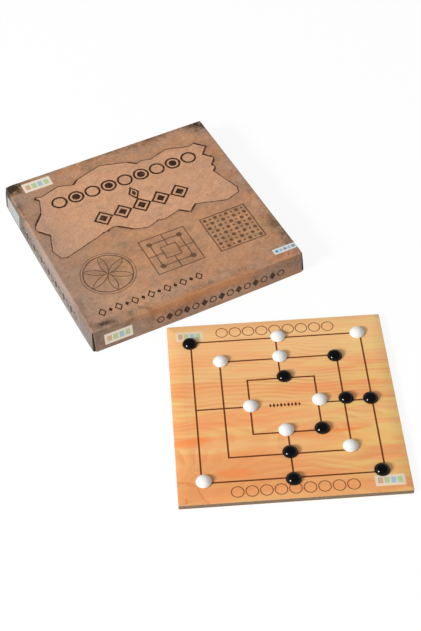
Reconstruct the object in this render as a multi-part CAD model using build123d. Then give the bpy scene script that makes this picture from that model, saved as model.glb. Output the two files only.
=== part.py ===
"""Nine men's morris set: a card box with a lift-off lid, a two-sided board and eighteen stones.

The box stands shut, and the board lies in front of it with the stones on its points. Lengths are in
millimetres and +Z is up. The origin is the middle of the tray's underside, +X runs along the box's front
edge, and +Y runs from its front to its back.
"""

from build123d import *
import math
import os

board_side = 240.0          # the board is square, and the box is made to hold it

# ---------------------------------------------------------------- the box, folded from card
lid_over_length = 25.0      # how much longer the lid is than the board, along X
lid_over_width = 25.0       # how much wider the lid is than the board, along Y
lid_height = 30.0           # top of the lid above the table
lid_rim_lift = 0.6          # the lid's rim hangs this far above the table
box_card = 1.5              # thickness of the lid's and the tray's card
box_fold = 0.5              # inside radius of the folds of the lid and the tray
tray_gap = 0.2              # free play between the lid and the tray, on each side

# Upright corners: the left and right panels turn the corner as glued tabs, and the front and back panels
# stop short of the turn.
corner_turn = 0.5           # outside radius of the turn
lid_slit_fold = 0.2         # width of the lid's slits below the fold
lid_slit_rim = 1.4          # width of the lid's slits at the rim, where they have opened
tray_slit = 0.3             # width of the tray's slits, which haven't
corner_tab = 22.0           # length of a glued tab
corner_tab_taper = 6.0      # how much shorter a tab is at the rim than at the fold
corner_tab_drop = 1.5       # a tab starts this far from the box's inside face

# ---------------------------------------------------------------- the insert and the leaflet
insert_card = 1.0           # thickness of the insert's card
insert_fold = 0.4           # inside radius of the insert's folds
insert_gap = 0.5            # free play between the insert and the tray, on each side
well_rib = 14.0             # width of the deck between the two wells
well_side_deck = 12.8       # width of the deck left and right of the wells
well_end_deck = 26.8        # width of the deck in front of and behind the wells
leaflet_length = 210.0      # along Y
leaflet_width = 148.0       # along X, folded
leaflet_sheet = 0.3         # thickness of one leaf, which is itself a folded sheet
leaflet_fold = 0.2          # inside radius of the leaflet's fold
lid_headroom = 0.6          # free height above the board when it is put away

# ---------------------------------------------------------------- the board
board_core_thickness = 5.4
board_print_thickness = 0.3
board_corner = 1.0          # radius of the upright corners
board_turn = 22.8           # degrees that the board lies turned, clockwise from above
board_offset = 15.7         # the board's middle is this far to the right of the box's middle
board_distance = 11.5       # the board's nearest corner is this far in front of the lid

diagram_margin = 25.5       # from the board's edge to the outer square of the diagram
outer_lane = 30.0           # from the outer square to the middle one
inner_lane = 28.0           # from the middle square to the inner one
outer_half = board_side / 2 - diagram_margin
middle_half = outer_half - outer_lane
inner_half = middle_half - inner_lane

# ---------------------------------------------------------------- the stones
stone_diameter = 16.5
stone_height = 6.5
stone_rim_height = 1.0      # the dome starts this far above the board
stone_foot_round = 0.8      # radius of the rounding under the rim

# Each stone is on a point of the diagram: its square, its column and row there, and how far the hand that
# placed it was off, along the board's X and Y.
white_points = [
    (outer_half, 0, 1, 3.0, 1.5),
    (outer_half, 1, 1, -3.0, -0.5),
    (outer_half, -1, -1, 2.0, 2.0),
    (middle_half, -1, 1, 1.0, 0.5),
    (middle_half, 0, 1, 2.0, 2.5),
    (middle_half, 1, -1, -1.5, 4.5),
    (inner_half, -1, 0, 0.5, 0.5),
    (inner_half, 1, 0, 2.0, 3.5),
    (inner_half, 0, -1, -1.5, 2.5),
]
black_points = [
    (outer_half, -1, 1, -1.0, -1.5),
    (outer_half, 1, 0, -1.5, 1.0),
    (outer_half, 0, -1, -0.5, -2.0),
    (outer_half, 1, -1, -3.5, 2.0),
    (middle_half, 1, 1, -2.0, -1.5),
    (middle_half, 1, 0, 2.5, 3.5),
    (middle_half, 0, -1, -0.5, 2.0),
    (inner_half, 0, 1, 4.0, 2.0),
    (inner_half, 1, -1, 0.0, 2.0),
]

# ---------------------------------------------------------------- sizes that follow
lid_length = board_side + lid_over_length
lid_width = board_side + lid_over_width
tray_height = lid_height - box_card
tray_length = lid_length - 2 * (box_card + box_fold + tray_gap)
tray_width = lid_width - 2 * (2 * box_card + box_fold + tray_gap)
tray_room_length = tray_length - 2 * (box_card + box_fold)
tray_room_width = tray_width - 2 * (2 * box_card + box_fold)
board_thickness = board_core_thickness + 2 * board_print_thickness
board_reach = board_side / 2 * (math.cos(math.radians(board_turn)) + math.sin(math.radians(board_turn)))
board_y = -(lid_width / 2 + board_distance + board_reach)
leaflet_height = 2 * (leaflet_sheet + leaflet_fold)
insert_top = tray_height - lid_headroom - board_thickness - leaflet_height
insert_length = tray_room_length - 2 * insert_gap
insert_width = tray_room_width - 2 * insert_gap
well_length = (insert_length - well_rib) / 2 - well_side_deck
well_width = insert_width - 2 * well_end_deck

on_floor = (Align.CENTER, Align.CENTER, Align.MIN)


def block(length, width, height, x=0.0, y=0.0, z=0.0):
    """A block centred on (x, y), with its underside at z."""
    return Pos(x, y, z) * Box(length, width, height, align=on_floor)


def rounded_block(length, width, height, radius):
    """A block on z = 0 whose four lower edges are rounded, as where card is folded upwards."""
    plain = block(length, width, height)
    lower_edges = plain.edges().group_by(Axis.Z)[0]
    return fillet(lower_edges, radius)


def corner_cut(length, width, height, slit_fold, slit_rim):
    """What is cut away at the corner near (-length/2, -width/2): the slit, and the round of the turn."""
    fold_level = box_card + box_fold
    past_rim = height + box_card
    slit = Polyline(
        (-box_card, fold_level),
        (corner_turn + slit_fold, fold_level),
        (corner_turn + slit_rim, past_rim),
        (-box_card, past_rim),
        close=True,
    )
    slit_tool = extrude(Plane.XZ * make_face(slit), -2 * box_card)
    side = 2 * corner_turn
    square = block(side, side, past_rim - fold_level, 0, box_card, fold_level)
    turn_middle = Pos(corner_turn, box_card + corner_turn, fold_level)
    turn = turn_middle * Cylinder(corner_turn, past_rim - fold_level, align=on_floor)
    return Pos(-length / 2, -width / 2, 0) * (Pos(0, -box_card, 0) * slit_tool + (square - turn))


def corner_tab_blank(length, width, height):
    """The glued tab at the corner near (-length/2, -width/2), whose root lies in the side panel."""
    root = (corner_turn + box_card) / 2
    top = box_card + corner_tab_drop
    outline = Polyline(
        (root, top), (corner_tab, top), (corner_tab - corner_tab_taper, height), (root, height), close=True
    )
    return Pos(-length / 2, -width / 2 + box_card, 0) * extrude(Plane.XZ * make_face(outline), -box_card)


def at_four_corners(shape):
    """A shape made for the corner near (-length/2, -width/2), and its mirror images at the other three."""
    pair = [shape, mirror(shape, Plane.YZ)]
    return pair + [mirror(one, Plane.XZ) for one in pair]


def folded_tray(length, width, height, slit_fold, slit_rim):
    """An open box of folded card, standing on its bottom panel: four walls, and a glued tab at each corner."""
    outside = rounded_block(length, width, height, box_card + box_fold)
    room = rounded_block(length - 2 * box_card, width - 2 * box_card, height, box_fold)
    cuts = at_four_corners(corner_cut(length, width, height, slit_fold, slit_rim))
    tabs = at_four_corners(corner_tab_blank(length, width, height))
    return outside - Pos(0, 0, box_card) * room - cuts + tabs


def make_tray():
    """The lower half of the box, which stands on the table inside the lid."""
    return folded_tray(tray_length, tray_width, tray_height, tray_slit, tray_slit)


def make_lid():
    """The upper half, turned over so that it rests on the tray's rim and its walls hang round the tray."""
    upturned = folded_tray(lid_length, lid_width, lid_height - lid_rim_lift, lid_slit_fold, lid_slit_rim)
    return Pos(0, 0, lid_height) * (Rot(180, 0, 0) * upturned)


def make_insert():
    """A card platform in the tray: a deck folded down at its edges, and two wells folded down to the floor."""
    height = insert_top - box_card
    card = insert_card
    outside = rounded_block(insert_length, insert_width, height, card + insert_fold)
    room = rounded_block(insert_length - 2 * card, insert_width - 2 * card, height, insert_fold)
    middles = [side * (well_rib + well_length) / 2 for side in (-1, 1)]
    walls = [block(well_length + 2 * card, well_width + 2 * card, height, x) for x in middles]
    wells = [block(well_length, well_width, 3 * height, x, 0, -height) for x in middles]
    upturned = outside - Pos(0, 0, card) * room + walls - wells
    return Pos(0, 0, insert_top) * (Rot(180, 0, 0) * upturned)


def make_leaflet():
    """A rules sheet folded once, lying on the insert's deck: two leaves joined by a rounded fold."""
    edge = leaflet_width / 2
    middle = leaflet_height / 2
    fold_x = middle - edge
    low, high = middle - leaflet_fold, middle + leaflet_fold
    section = make_face(Wire([
        Line((edge, 0), (fold_x, 0)),
        ThreePointArc((fold_x, 0), (-edge, middle), (fold_x, leaflet_height)),
        Line((fold_x, leaflet_height), (edge, leaflet_height)),
        Line((edge, leaflet_height), (edge, high)),
        Line((edge, high), (fold_x, high)),
        ThreePointArc((fold_x, high), (fold_x - leaflet_fold, middle), (fold_x, low)),
        Line((fold_x, low), (edge, low)),
        Line((edge, low), (edge, 0)),
    ]))
    return Pos(0, leaflet_length / 2, insert_top) * extrude(Plane.XZ * section, leaflet_length)


def on_board(shape):
    """Moves a shape from the board's own frame, with its middle as origin, to where the board lies."""
    return Pos(board_offset, board_y, 0) * (Rot(0, 0, -board_turn) * shape)


def board_layer(thickness, level):
    """One layer of the board, a square with rounded upright corners."""
    face = RectangleRounded(board_side, board_side, board_corner)
    return on_board(Pos(0, 0, level) * extrude(face, thickness))


def make_stone(square, column, row, off_x, off_y):
    """A flat-bottomed dome on a point of the diagram, turned from half of its section."""
    radius = stone_diameter / 2
    rim = stone_rim_height
    rise = stone_height - rim
    dome_radius = (radius**2 + rise**2) / (2 * rise)
    dome_middle = (radius / 2, stone_height - dome_radius + (dome_radius**2 - radius**2 / 4) ** 0.5)
    foot = stone_foot_round
    turn = foot * (1 - 0.5**0.5)
    section = make_face(Wire([
        Line((0, 0), (radius - foot, 0)),
        ThreePointArc((radius - foot, 0), (radius - turn, turn), (radius, foot)),
        Line((radius, foot), (radius, rim)),
        ThreePointArc((radius, rim), dome_middle, (0, stone_height)),
        Line((0, stone_height), (0, 0)),
    ]))
    stone = revolve(Plane.XZ * section, Axis.Z)
    place = Pos(column * square + off_x, row * square + off_y, board_thickness)
    return on_board(place * stone)


parts = {
    "lid": make_lid(),
    "tray": make_tray(),
    "insert": make_insert(),
    "rules_leaflet": make_leaflet(),
    "board_back_print": board_layer(board_print_thickness, 0),
    "board_core": board_layer(board_core_thickness, board_print_thickness),
    "board_face_print": board_layer(board_print_thickness, board_print_thickness + board_core_thickness),
}
for colour, points in (("white", white_points), ("black", black_points)):
    for number, point in enumerate(points, start=1):
        parts[f"stone_{colour}_{number}"] = make_stone(*point)

os.makedirs("parts", exist_ok=True)
for name, shape in parts.items():
    export_step(shape, f"parts/{name}.step")
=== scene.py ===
"""Looks of the nine men's morris set: a printed card box, a two-sided board and eighteen plastic stones.

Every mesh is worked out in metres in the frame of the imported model, and takes its place from the nodes there.
Patterns are worked out in millimetres. Colours are written as they look on screen, from 0 to 255.
"""

from __future__ import annotations

import logging
import math
from dataclasses import dataclass, field
from enum import Enum, IntEnum
from typing import Callable, Union

import bmesh
import bpy
import numpy as np
from mathutils import Matrix, Vector


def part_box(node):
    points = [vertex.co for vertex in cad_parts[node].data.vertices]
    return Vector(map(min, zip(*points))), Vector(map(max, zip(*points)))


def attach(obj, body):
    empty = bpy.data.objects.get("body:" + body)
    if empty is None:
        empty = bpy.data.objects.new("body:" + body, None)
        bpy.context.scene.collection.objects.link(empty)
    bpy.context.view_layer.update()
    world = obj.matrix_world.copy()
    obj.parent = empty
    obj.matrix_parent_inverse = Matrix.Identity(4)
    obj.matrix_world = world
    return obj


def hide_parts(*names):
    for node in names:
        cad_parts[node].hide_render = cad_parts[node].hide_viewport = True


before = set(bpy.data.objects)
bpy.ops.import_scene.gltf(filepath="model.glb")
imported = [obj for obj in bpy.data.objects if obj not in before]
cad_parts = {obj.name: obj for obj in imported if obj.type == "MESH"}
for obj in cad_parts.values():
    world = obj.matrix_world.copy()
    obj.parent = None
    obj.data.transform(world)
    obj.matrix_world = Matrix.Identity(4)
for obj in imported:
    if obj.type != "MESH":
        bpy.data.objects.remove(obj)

MM = 0.001
ORIGIN = (0.0, 0.0)
WHITE = (1.0, 1.0, 1.0, 1.0)
CORNER_SIGNS = ((1, 1), (-1, 1), (-1, -1), (1, -1))
NOISE_STEP = (7.3, 3.1, 5.7)     # how far a noise pattern moves for each step of its seed
LUMP_STEP = (1.0, 0.7, 0.3)      # the same for scattered points
log = logging.getLogger("morris_set")

Socket = bpy.types.NodeSocket
Tree = bpy.types.NodeTree
Material = bpy.types.Material
Colour = tuple[float, float, float, float]
Pair = tuple[float, float]
Triple = tuple[float, float, float]
Spots = tuple[tuple[float, float, float, float, float], ...]
Points = np.ndarray
Groups = dict[str, Tree]


def screen(red: float, green: float, blue: float) -> Colour:
    """The linear colour that shows as these screen values.

    Args:
        red, green, blue: screen values from 0 to 255.
    Returns:
        The colour as Blender wants it, with full opacity.
    """
    shown = np.array([red, green, blue]) / 255
    linear = np.where(shown <= 0.04045, shown / 12.92, ((shown + 0.055) / 1.055) ** 2.4)
    return (float(linear[0]), float(linear[1]), float(linear[2]), 1.0)


# ------------------------------------------------------------------------------------- patterns


class Field:
    """A number that changes over the surface. Arithmetic on it adds Math nodes to its canvas."""

    def __init__(self, canvas: Canvas, socket: Socket) -> None:
        """Keeps the canvas and the socket that the number comes from."""
        self.canvas = canvas
        self.socket = socket

    def math(self, operation: str, *others: Number) -> Field:
        """The result of a Math node that has this number first."""
        return self.canvas.math(operation, self, *others)

    def __add__(self, other: Number) -> Field:
        """The sum."""
        return self.math("ADD", other)

    def __sub__(self, other: Number) -> Field:
        """The difference."""
        return self.math("SUBTRACT", other)

    def __rsub__(self, other: Number) -> Field:
        """The difference, with the other number first."""
        return self.canvas.math("SUBTRACT", other, self)

    def __mul__(self, other: Number) -> Field:
        """The product."""
        return self.math("MULTIPLY", other)

    def __truediv__(self, other: Number) -> Field:
        """The quotient."""
        return self.math("DIVIDE", other)

    def __abs__(self) -> Field:
        """The size of the number, without its sign."""
        return self.math("ABSOLUTE")

    __radd__ = __add__
    __rmul__ = __mul__

    def over(self, other: Number) -> Field:
        """The larger of the two."""
        return self.math("MAXIMUM", other)

    def under(self, other: Number) -> Field:
        """The smaller of the two."""
        return self.math("MINIMUM", other)

    def rise(self, start: float, end: float) -> Field:
        """A smooth step: 0 up to start and 1 from end on, or the other way round if end is less."""
        node = self.canvas.node("ShaderNodeMapRange", interpolation_type="SMOOTHSTEP")
        self.canvas.feed(node.inputs["Value"], self)
        node.inputs["From Min"].default_value = start
        node.inputs["From Max"].default_value = end
        return Field(self.canvas, node.outputs["Result"])

    def stroke(self, width: float, soft: float = 0.35) -> Field:
        """A line of this width where the number, a distance, is 0."""
        return abs(self).rise(width / 2 + soft / 2, width / 2 - soft / 2)

    def filled(self, soft: float = 0.35) -> Field:
        """1 where the number, a distance, is less than 0."""
        return self.rise(soft / 2, -soft / 2)


Number = Union[Field, float]
Plane2 = tuple[Field, Field]


class Canvas:
    """A node tree, with short ways to add the nodes of a pattern."""

    def __init__(self, tree: Tree) -> None:
        """Keeps the tree."""
        self.tree = tree

    def node(self, kind: str, **settings: object) -> bpy.types.Node:
        """A new node of this kind, with its properties set."""
        made = self.tree.nodes.new(kind)
        for name, value in settings.items():
            setattr(made, name, value)
        return made

    def feed(self, socket: Socket, value: object) -> None:
        """Links a field or a socket to the socket, or sets its plain value."""
        if isinstance(value, Field):
            value = value.socket
        if isinstance(value, Socket):
            self.tree.links.new(value, socket)
        else:
            socket.default_value = value

    def math(self, operation: str, *values: Number) -> Field:
        """The result of a Math node."""
        made = self.node("ShaderNodeMath", operation=operation)
        for socket, value in zip(made.inputs, values):
            self.feed(socket, value)
        return Field(self, made.outputs[0])

    def place(self, middle: Vector = Vector(), turn: float = 0.0) -> Socket:
        """The place on the object in millimetres, from a middle and along turned axes.

        Args:
            middle: the middle, in metres in the frame.
            turn: how far the axes are turned anticlockwise from above, in radians.
        Returns:
            The vector socket.
        """
        source = self.node("ShaderNodeTexCoord")
        mapping = self.node("ShaderNodeMapping", vector_type="TEXTURE")
        self.feed(mapping.inputs["Vector"], source.outputs["Object"])
        mapping.inputs["Location"].default_value = middle
        mapping.inputs["Rotation"].default_value = (0.0, 0.0, turn)
        mapping.inputs["Scale"].default_value = (MM, MM, MM)
        return mapping.outputs["Vector"]

    def split(self, vector: Socket) -> tuple[Field, Field, Field]:
        """The three numbers of a vector."""
        made = self.node("ShaderNodeSeparateXYZ")
        self.feed(made.inputs[0], vector)
        return (Field(self, made.outputs[0]), Field(self, made.outputs[1]), Field(self, made.outputs[2]))

    def join(self, x: Number, y: Number, z: Number = 0.0) -> Socket:
        """A vector made of three numbers."""
        made = self.node("ShaderNodeCombineXYZ")
        for socket, value in zip(made.inputs, (x, y, z)):
            self.feed(socket, value)
        return made.outputs[0]

    def scaled(self, vector: Socket, size: float | Triple, seed: float, step: Triple) -> Socket:
        """The place over a size in millimetres, one number or three, moved by the seed times the step."""
        made = self.node("ShaderNodeVectorMath", operation="MULTIPLY_ADD")
        self.feed(made.inputs[0], vector)
        made.inputs[1].default_value = tuple(1 / np.broadcast_to(size, 3))
        made.inputs[2].default_value = tuple(part * seed for part in step)
        return made.outputs[0]

    def noise(
        self, vector: Socket, size: float | Triple,
        detail: float = 2.0, roughness: float = 0.5, seed: float = 0.0, twist: float = 0.0,
    ) -> Field:
        """Smooth noise around 0.5, with blobs of this size along each axis.

        Args:
            vector: the place, in millimetres.
            size: the blobs' size in millimetres, one number or three.
            detail: how many finer layers are added.
            roughness: how strong the finer layers are.
            seed: moves the noise to another part of its pattern.
            twist: how much the noise bends itself.
        Returns:
            The noise.
        """
        made = self.node("ShaderNodeTexNoise")
        self.feed(made.inputs["Vector"], self.scaled(vector, size, seed, NOISE_STEP))
        made.inputs["Scale"].default_value = 1.0
        made.inputs["Detail"].default_value = detail
        made.inputs["Roughness"].default_value = roughness
        made.inputs["Distortion"].default_value = twist
        return Field(self, made.outputs["Fac"])

    def sway(self, vector: Socket, size: float | Triple, reach: float, seed: float) -> Field:
        """Smooth noise that swings from about -reach to reach, as plain noise stays within 0.25 of 0.5."""
        return (self.noise(vector, size, seed=seed) - 0.5) * (reach / 0.25)

    def lumps(self, vector: Socket, size: float, seed: float) -> Field:
        """The distance along the axes to the nearest of scattered points this far apart, as a share of it."""
        made = self.node("ShaderNodeTexVoronoi", feature="F1", distance="MANHATTAN")
        self.feed(made.inputs["Vector"], self.scaled(vector, size, seed, LUMP_STEP))
        made.inputs["Scale"].default_value = 1.0
        return Field(self, made.outputs["Distance"])

    def mix(self, share: Number, first: object, second: object) -> Socket:
        """A colour between the first, at share 0, and the second, at share 1."""
        made = self.node("ShaderNodeMix", data_type="RGBA", clamp_factor=True)
        self.feed(made.inputs[0], share)
        self.feed(made.inputs[6], first)
        self.feed(made.inputs[7], second)
        return made.outputs[2]

    def stain(self, ground: object, tint: object, mask: Number, most: float = 1.0) -> Socket:
        """The ground, with a tint laid over it as far as the mask says, and at most this much."""
        return self.mix(mask * most, ground, tint)

    def shade(self, colour: object, level: Number) -> Socket:
        """The colour made lighter or darker: times the level, where 1 leaves it."""
        made = self.node("ShaderNodeVectorMath", operation="SCALE")
        self.feed(made.inputs[0], colour)
        self.feed(made.inputs["Scale"], level)
        return made.outputs[0]

    def bump(self, height: Field) -> Socket:
        """The normal of a surface raised by this height in millimetres."""
        made = self.node("ShaderNodeBump")
        made.inputs["Strength"].default_value = 1.0
        made.inputs["Distance"].default_value = MM
        self.feed(made.inputs["Height"], height)
        return made.outputs[0]

    def use(self, group: Tree, **values: object) -> bpy.types.bpy_prop_collection:
        """Places a node group here, with its inputs fed by name, and gives its outputs."""
        made = self.node("ShaderNodeGroup", node_tree=group)
        for name, value in values.items():
            self.feed(made.inputs[name], value)
        return made.outputs


class Group:
    """A shader node group in the making, with named inputs and outputs."""

    KINDS = {"vector": "NodeSocketVector", "colour": "NodeSocketColor", "number": "NodeSocketFloat"}

    def __init__(self, name: str, inputs: dict[str, str], outputs: dict[str, str]) -> None:
        """Makes the empty group.

        Args:
            name: the group's name.
            inputs: the kind of each input, by name.
            outputs: the kind of each output, by name.
        """
        self.tree = bpy.data.node_groups.new(name, "ShaderNodeTree")
        for label, kind in inputs.items():
            self.tree.interface.new_socket(name=label, in_out="INPUT", socket_type=self.KINDS[kind])
        for label, kind in outputs.items():
            self.tree.interface.new_socket(name=label, in_out="OUTPUT", socket_type=self.KINDS[kind])
        self.canvas = Canvas(self.tree)
        self.inputs = self.canvas.node("NodeGroupInput").outputs
        self.outputs = self.canvas.node("NodeGroupOutput").inputs

    def give(self, **values: object) -> Tree:
        """Feeds the group's outputs by name, and gives the finished group."""
        for name, value in values.items():
            self.canvas.feed(self.outputs[name], value)
        return self.tree


class Coat:
    """A material in the making: its canvas, and its one principled shader."""

    def __init__(self, name: str, roughness: float, specular: float = 0.5) -> None:
        """Makes the material with a plain shader.

        Args:
            name: the material's name.
            roughness: the shader's roughness where nothing is linked to it.
            specular: the shader's specular level.
        """
        self.material = bpy.data.materials.new(name)
        self.material.use_nodes = True
        tree = self.material.node_tree
        tree.nodes.clear()
        self.canvas = Canvas(tree)
        self.shader = self.canvas.node("ShaderNodeBsdfPrincipled")
        self.shader.inputs["Roughness"].default_value = roughness
        self.shader.inputs["Specular IOR Level"].default_value = specular
        output = self.canvas.node("ShaderNodeOutputMaterial")
        tree.links.new(self.shader.outputs[0], output.inputs["Surface"])

    def lay(self, colour: object, roughness: object = None, normal: object = None) -> Material:
        """Feeds the shader, and gives the finished material."""
        for name, value in (("Base Color", colour), ("Roughness", roughness), ("Normal", normal)):
            if value is not None:
                self.canvas.feed(self.shader.inputs[name], value)
        return self.material


# --------------------------------------------------------------------------- figures on a plane


def box_at(place: Plane2, middle: Pair, half: Pair) -> Field:
    """The distance from a box's outline, less than 0 inside: the larger of the distances along x and y."""
    x, y = place
    return (abs(x - middle[0]) - half[0]).over(abs(y - middle[1]) - half[1])


def ring_at(place: Plane2, middle: Pair, radius: float) -> Field:
    """The distance from a circle, less than 0 inside: the distance from its middle, less the radius."""
    x, y = place[0] - middle[0], place[1] - middle[1]
    return (x * x + y * y).math("SQRT") - radius


def lozenge_at(place: Plane2, middle: Pair, half: Pair) -> Field:
    """The distance from a lozenge's outline, less than 0 inside."""
    x, y = abs(place[0] - middle[0]) / half[0], abs(place[1] - middle[1]) / half[1]
    return (x + y - 1.0) * (half[0] * half[1] / math.hypot(*half))


def ovals(place: Plane2, spots: Spots) -> Field:
    """Soft spots: the most of each spot's strength times one minus the squared distance from its middle.

    Args:
        place: the two distances along the plane.
        spots: for each one, its middle, its half sizes and its strength.
    Returns:
        The spots, with 0 outside them.
    """
    found: Number = 0.0
    for middle_x, middle_y, half_x, half_y, strength in spots:
        across, upward = (place[0] - middle_x) / half_x, (place[1] - middle_y) / half_y
        found = ((1.0 - across * across - upward * upward) * strength).over(found)
    return found


def in_row(x: Field, count: int, pitch: float) -> tuple[Field, Field]:
    """Folds a row of figures into one.

    Args:
        x: the distance along the row, from its middle.
        count: how many figures the row has.
        pitch: the distance from one figure to the next.
    Returns:
        The distance from the nearest figure's middle, and that figure's number, with 0 for the first.
    """
    first = (count - 1) / 2
    number = (x / pitch + first).math("ROUND").over(0.0).under(count - 1.0)
    return x - (number - first) * pitch, number


def odd(number: Field) -> Field:
    """1 where a whole number is odd."""
    return abs(number * 0.5 - (number * 0.5).math("ROUND")) * 2.0


def mill_lines(place: Plane2, halves: Triple) -> Field:
    """The distance from a mill diagram's lines: three squares round the origin, and four lines across."""
    x, y = abs(place[0]), abs(place[1])
    reach = x.over(y)
    outer, mid, inner = halves
    squares = abs(reach - outer).under(abs(reach - mid)).under(abs(reach - inner))
    links = x.under(y).over(inner - reach).over(reach - outer)
    return squares.under(links)


# ------------------------------------------------------------------------------- shared effects


def make_print_wear() -> Tree:
    """A group that rubs print off along folds, and soils it.

    Its Colour is the print with the card showing through as far as Wear says, from 0 to 1, unevenly, and
    with a faint grey film in large blotches. Its Mask says where the card shows.
    """
    group = Group(
        "print_wear", {"Place": "vector", "Print": "colour", "Card": "colour", "Wear": "number"},
        {"Colour": "colour", "Mask": "number"},
    )
    canvas = group.canvas
    place = group.inputs["Place"]
    grime = screen(128, 118, 108)
    grit = canvas.noise(place, 2.6, detail=4.0, roughness=0.65, seed=4.0)
    mask = Field(canvas, group.inputs["Wear"]) * grit.rise(0.2, 0.7)
    film = canvas.noise(place, 55.0, detail=3.0, seed=9.0).rise(0.5, 0.8) * 0.08
    soiled = canvas.mix(film, group.inputs["Print"], grime)
    return group.give(Colour=canvas.mix(mask, soiled, group.inputs["Card"]), Mask=mask)


def make_card_fibre() -> Tree:
    """A group for bare recycled card.

    Its Colour is the Tint with light and dark fibres, long along x and y, and sparse specks. Its Height, in
    millimetres, is the felt of the surface.
    """
    group = Group(
        "card_fibre", {"Place": "vector", "Tint": "colour"}, {"Colour": "colour", "Height": "number"},
    )
    canvas = group.canvas
    place = group.inputs["Place"]
    speck = screen(104, 92, 80)
    across = canvas.noise(place, (3.2, 0.35, 0.8), detail=3.0, seed=1.0)
    along = canvas.noise(place, (0.35, 3.2, 0.8), detail=3.0, seed=2.0)
    cloud = canvas.noise(place, 24.0, detail=3.0, seed=3.0)
    level = across.over(along) * 0.34 + cloud * 0.16 + 0.74
    specks = canvas.noise(place, 0.7, detail=1.0, seed=5.0).rise(0.7, 0.76) * 0.5
    colour = canvas.mix(specks, canvas.shade(group.inputs["Tint"], level), speck)
    return group.give(Colour=colour, Height=across.over(along) * 0.05)


@dataclass(frozen=True)
class HideTints:
    """The colours of the aged ground."""

    tan: Colour = screen(176, 129, 97)
    light_tan: Colour = screen(191, 140, 102)
    warm: Colour = screen(207, 156, 121)
    rust: Colour = screen(194, 130, 87)
    # grey of the mottle, also laid on as painted sheen
    ash: Colour = screen(166, 142, 127)
    moss: Colour = screen(128, 112, 82)
    pale: Colour = screen(203, 154, 121)
    smoke: Colour = screen(98, 74, 54)
    crack: Colour = screen(84, 64, 48)
    char: Colour = screen(32, 26, 21)


def make_aged_hide(tints: HideTints = HideTints()) -> Tree:
    """A group for the printed ground of the box: mottled, brushed tan leather, smoky at its edges.

    Edge is the distance from the nearest edge of the panel in millimetres. Soot, from 0 to 1, says where the
    ground may be burnt and where it carries painted shade, Warmth makes it lighter and more orange, and Sheen,
    a painted sheen, makes it greyer and darker. Colour is the ground, and Height its faint embossed grain in
    millimetres.
    """
    group = Group(
        "aged_hide",
        {"Place": "vector", "Edge": "number", "Soot": "number", "Warmth": "number", "Ash": "number"},
        {"Colour": "colour", "Height": "number"},
    )
    canvas = group.canvas
    place = group.inputs["Place"]
    names = ("Edge", "Soot", "Warmth", "Ash")
    edge, soot, warmth, ash = (Field(canvas, group.inputs[name]) for name in names)
    x, y, z = canvas.split(place)
    brush_x, brush_y = 0.77, 0.64
    brushed = canvas.join(x * brush_x + y * brush_y, y * brush_x - x * brush_y, z)
    large = canvas.noise(place, 60.0, detail=3.0, seed=1.0, twist=0.6)
    medium = canvas.noise(place, 19.0, detail=5.0, roughness=0.64, seed=2.0, twist=0.6)
    small = canvas.noise(place, 7.0, detail=4.0, roughness=0.66, seed=12.0, twist=0.5)
    strokes = canvas.noise(brushed, (9.0, 2.4, 4.0), detail=4.0, roughness=0.6, seed=3.0, twist=0.4)
    fine = canvas.noise(place, 1.9, detail=3.0, roughness=0.7, seed=4.0)
    near = edge.rise(32.0, 0.0)

    colour = canvas.mix(large.rise(0.36, 0.66), tints.tan, tints.light_tan)
    colour = canvas.stain(colour, tints.warm, warmth, most=0.8)
    rust = canvas.noise(place, (26.0, 14.0, 12.0), detail=4.0, seed=6.0).rise(0.5, 0.72)
    colour = canvas.stain(colour, tints.rust, rust * (near * 0.4 + 0.16))
    grey = canvas.noise(place, (30.0, 18.0, 24.0), detail=4.0, roughness=0.6, seed=8.0).rise(0.4, 0.66)
    # grey mottle, plus painted sheen that greys the ground where the lamp's reflection falls
    colour = canvas.stain(colour, tints.ash, grey * (near * 0.3 + 0.2) + ash * 0.3)
    moss = canvas.noise(place, (13.0, 10.0, 8.0), detail=4.0, roughness=0.6, seed=14.0)
    colour = canvas.stain(colour, tints.moss, moss.rise(0.5, 0.68) * (0.4 - warmth * 0.28))
    colour = canvas.stain(colour, tints.pale, moss.rise(0.44, 0.3) * (0.35 - warmth * 0.2))
    # the soot input also carries painted shade along the rim, which darkens the smoke and the char
    smoke = (near * 0.14 + soot * 0.26 + ash * 0.06 + medium * 0.8 + small * 0.6).rise(0.8, 1.06)
    colour = canvas.stain(colour, tints.smoke, smoke, most=0.66)
    crease = abs(canvas.noise(place, 21.0, detail=3.0, roughness=0.55, seed=7.0, twist=1.2) - 0.5)
    cracks = crease.rise(0.024, 0.0) * (near * 0.7 + 0.12) * fine.rise(0.36, 0.55)
    colour = canvas.stain(colour, tints.crack, cracks, most=0.7)
    char = (soot * 0.6 + medium * 0.8 + small * 0.6 + strokes * 0.4).rise(1.22, 1.5)
    colour = canvas.stain(colour, tints.char, char, most=0.88)
    level = small * 0.54 + strokes * 0.48 + fine * 0.56 + 0.22
    return group.give(Colour=canvas.shade(colour, level), Height=(strokes + fine * 0.6) * 0.04)


@dataclass(frozen=True)
class PineTints:
    """The colours of the pine picture."""

    honey: Colour = screen(233, 184, 122)
    peach: Colour = screen(236, 165, 105)
    blush: Colour = screen(240, 152, 94)
    gold: Colour = screen(232, 196, 122)
    late_wood: Colour = screen(210, 124, 70)


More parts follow.
